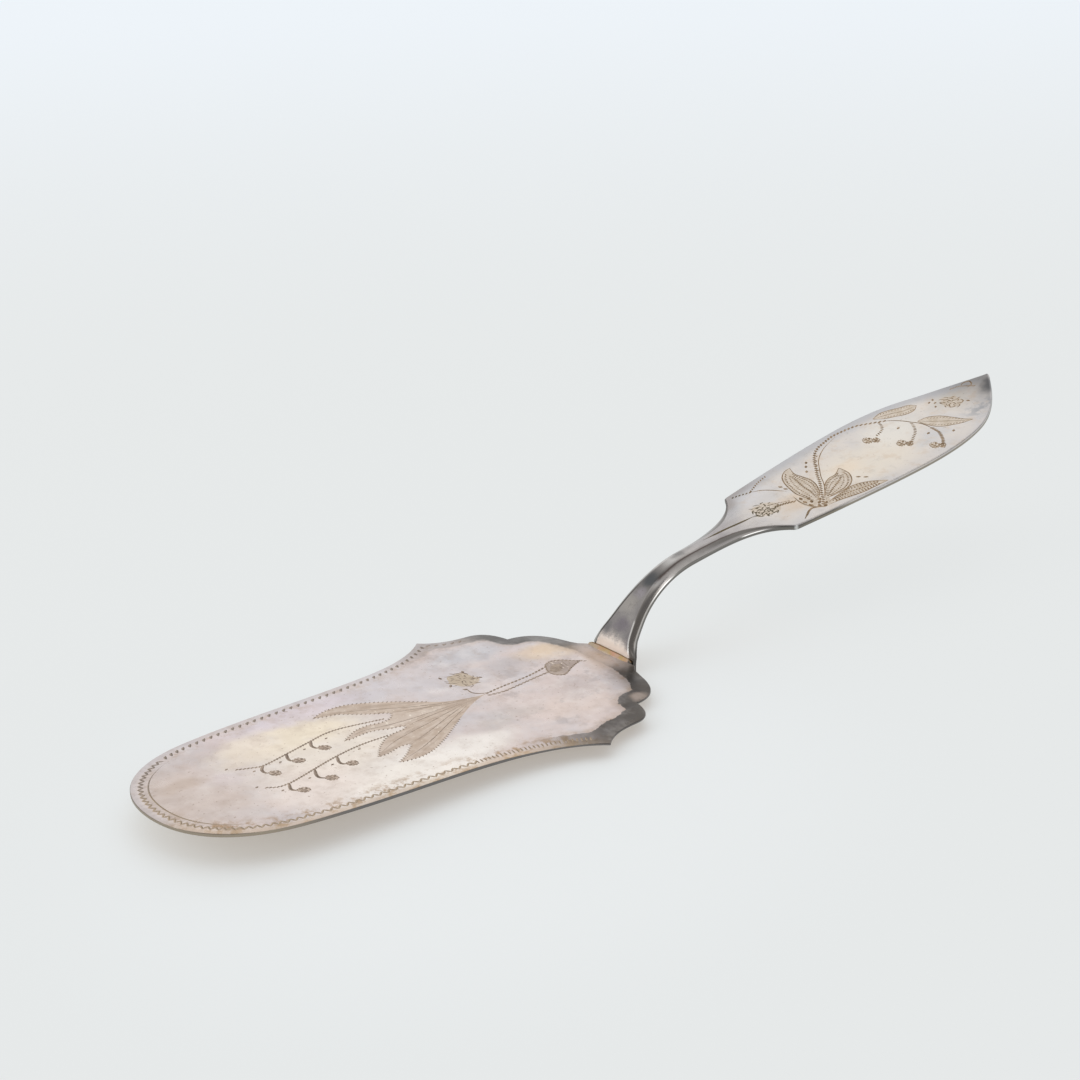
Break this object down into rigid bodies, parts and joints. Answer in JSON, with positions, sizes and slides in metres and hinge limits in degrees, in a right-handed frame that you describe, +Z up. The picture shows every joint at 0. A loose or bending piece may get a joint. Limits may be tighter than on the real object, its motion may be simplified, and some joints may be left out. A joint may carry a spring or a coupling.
{
  "type": "cake server",
  "caption": "Engraved silver cake server with a flat scalloped blade soldered to a bent, bevelled stem that widens into a leaf-shaped grip.",
  "frame": {"origin": "middle of the tongue under the blade, on the flat face that the server rests on", "axes": "+X from the blade's tip to the end of the handle, +Y across the blade to its left side, +Z up"},
  "size_m": [0.2523, 0.0686, 0.0398],
  "materials": {
    "blade_silver": "tarnished silver, satin, with a warm cream and rose bloom, engraved lines and a darker rear border",
    "handle_silver": "tarnished silver, polished and grey on the stem, satin and engraved on the grip",
    "solder_brass": "dull orange-tan hard solder"
  },
  "bodies": {
    "root": {"blade": "blade_silver", "handle": "handle_silver", "solder": "solder_brass"}
  },
  "joints": []
}
